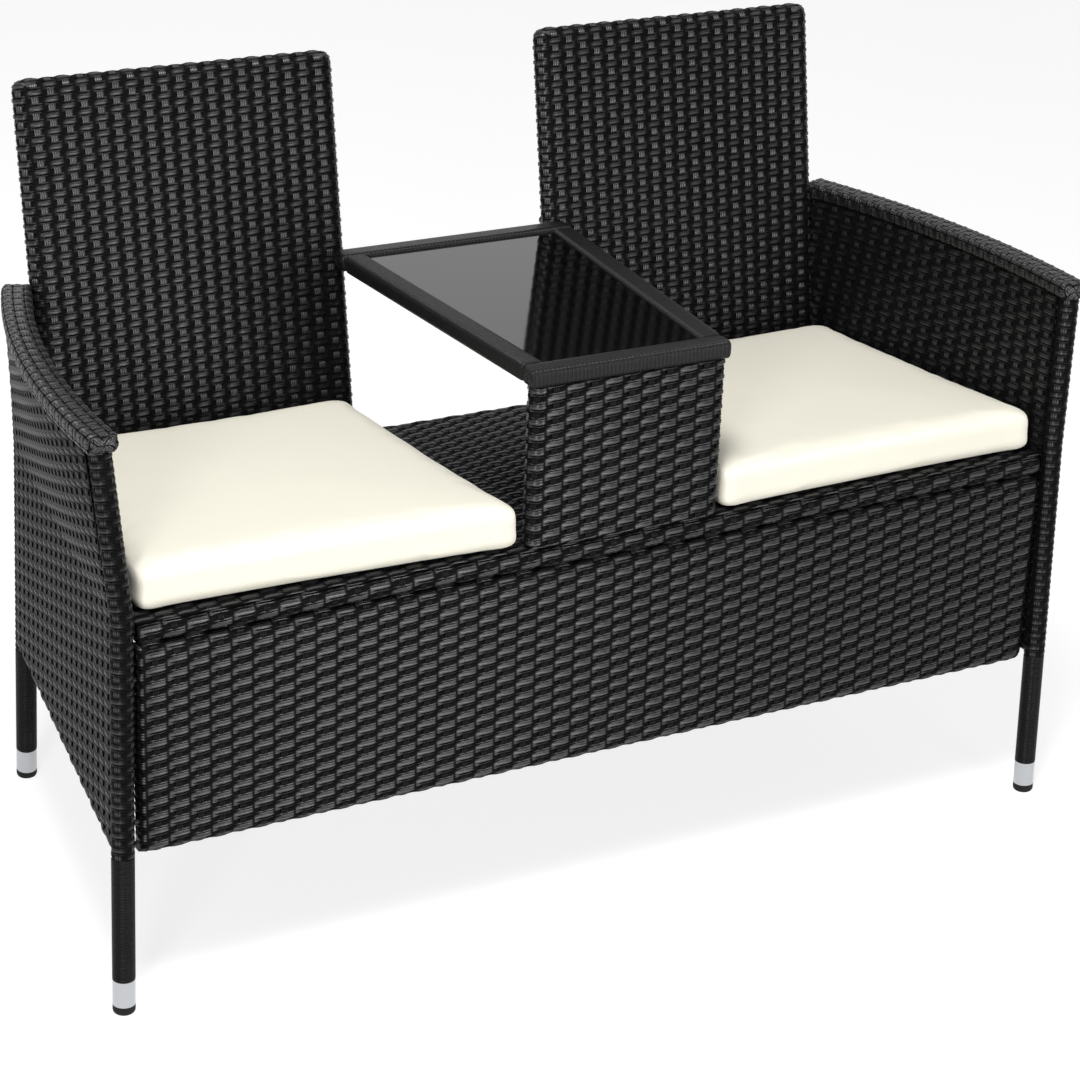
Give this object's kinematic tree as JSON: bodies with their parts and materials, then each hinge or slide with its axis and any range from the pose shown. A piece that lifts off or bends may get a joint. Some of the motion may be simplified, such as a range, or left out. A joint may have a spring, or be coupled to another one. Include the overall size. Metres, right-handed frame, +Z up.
{
  "type": "garden bench with table",
  "caption": "Garden love seat of woven plastic rattan on a steel tube frame, with loose seat cushions and a glass-topped table between the seats.",
  "frame": {"origin": "on the floor, under the middle of the bench", "axes": "+X to the right seen from in front, -Y towards the front, +Z up"},
  "size_m": [1.209, 0.5556, 0.8698],
  "materials": {
    "woven_rattan": "satin",
    "coated_steel": "satin",
    "sleeve_aluminium": "polished",
    "cap_rubber": "matte",
    "bumper_silicone": "satin",
    "black_glass": "gloss",
    "cushion_fabric": "matte",
    "cushion_foam": "matte",
    "bolt_steel": "satin"
  },
  "bodies": {
    "bench": {"apron_end_rails": "coated_steel", "apron_long_rails": "coated_steel", "apron_weave": "woven_rattan", "backrest_bolts": "bolt_steel", "bolt_washers": "bolt_steel", "foot_caps": "cap_rubber", "foot_sleeves": "sleeve_aluminium", "frame_bolts": "bolt_steel", "glass_bumpers": "bumper_silicone", "glass_lugs": "coated_steel", "left_arm_rail": "coated_steel", "left_arm_wrap": "woven_rattan", "left_backrest_bottom_rail": "coated_steel", "left_backrest_top_rail": "coated_steel", "left_backrest_uprights": "coated_steel", "left_backrest_weave": "woven_rattan", "left_front_post": "coated_steel", "left_front_post_wrap": "woven_rattan", "left_rear_leg": "coated_steel", "left_rear_leg_wrap": "woven_rattan", "left_seat_side_rail": "coated_steel", "left_side_lower_rail": "coated_steel", "left_side_seat_rail": "coated_steel", "left_side_weave": "woven_rattan", "right_arm_rail": "coated_steel", "right_arm_wrap": "woven_rattan", "right_backrest_bottom_rail": "coated_steel", "right_backrest_top_rail": "coated_steel", "right_backrest_uprights": "coated_steel", "right_backrest_weave": "woven_rattan", "right_front_post": "coated_steel", "right_front_post_wrap": "woven_rattan", "right_rear_leg": "coated_steel", "right_rear_leg_wrap": "woven_rattan", "right_seat_side_rail": "coated_steel", "right_side_lower_rail": "coated_steel", "right_side_seat_rail": "coated_steel", "right_side_weave": "woven_rattan", "seat_crossbars": "coated_steel", "seat_front_band": "woven_rattan", "seat_front_rail": "coated_steel", "seat_rear_rail": "coated_steel", "seat_weave": "woven_rattan", "table_bolts": "bolt_steel", "table_front_rail": "coated_steel", "table_front_wrap": "woven_rattan", "table_left_rail": "coated_steel", "table_left_wrap": "woven_rattan", "table_panel_rail": "coated_steel", "table_panel_uprights": "coated_steel", "table_panel_weave": "woven_rattan", "table_rear_rail": "coated_steel", "table_rear_wrap": "woven_rattan", "table_right_rail": "coated_steel", "table_right_wrap": "woven_rattan"},
    "left_cushion": {"left_cushion_cover": "cushion_fabric", "left_cushion_foam": "cushion_foam"},
    "right_cushion": {"right_cushion_cover": "cushion_fabric", "right_cushion_foam": "cushion_foam"},
    "glass_pane": {"table_glass": "black_glass"}
  },
  "joints": [
    {"name": "left_cushion_lift", "type": "slide", "parent": "bench", "child": "left_cushion", "axis": [0, 0, 1], "range_m": [0, 0.45]},
    {"name": "right_cushion_lift", "type": "slide", "parent": "bench", "child": "right_cushion", "axis": [0, 0, 1], "range_m": [0, 0.45]},
    {"name": "glass_lift", "type": "slide", "parent": "bench", "child": "glass_pane", "axis": [0, 0, 1], "range_m": [0, 0.3]}
  ]
}
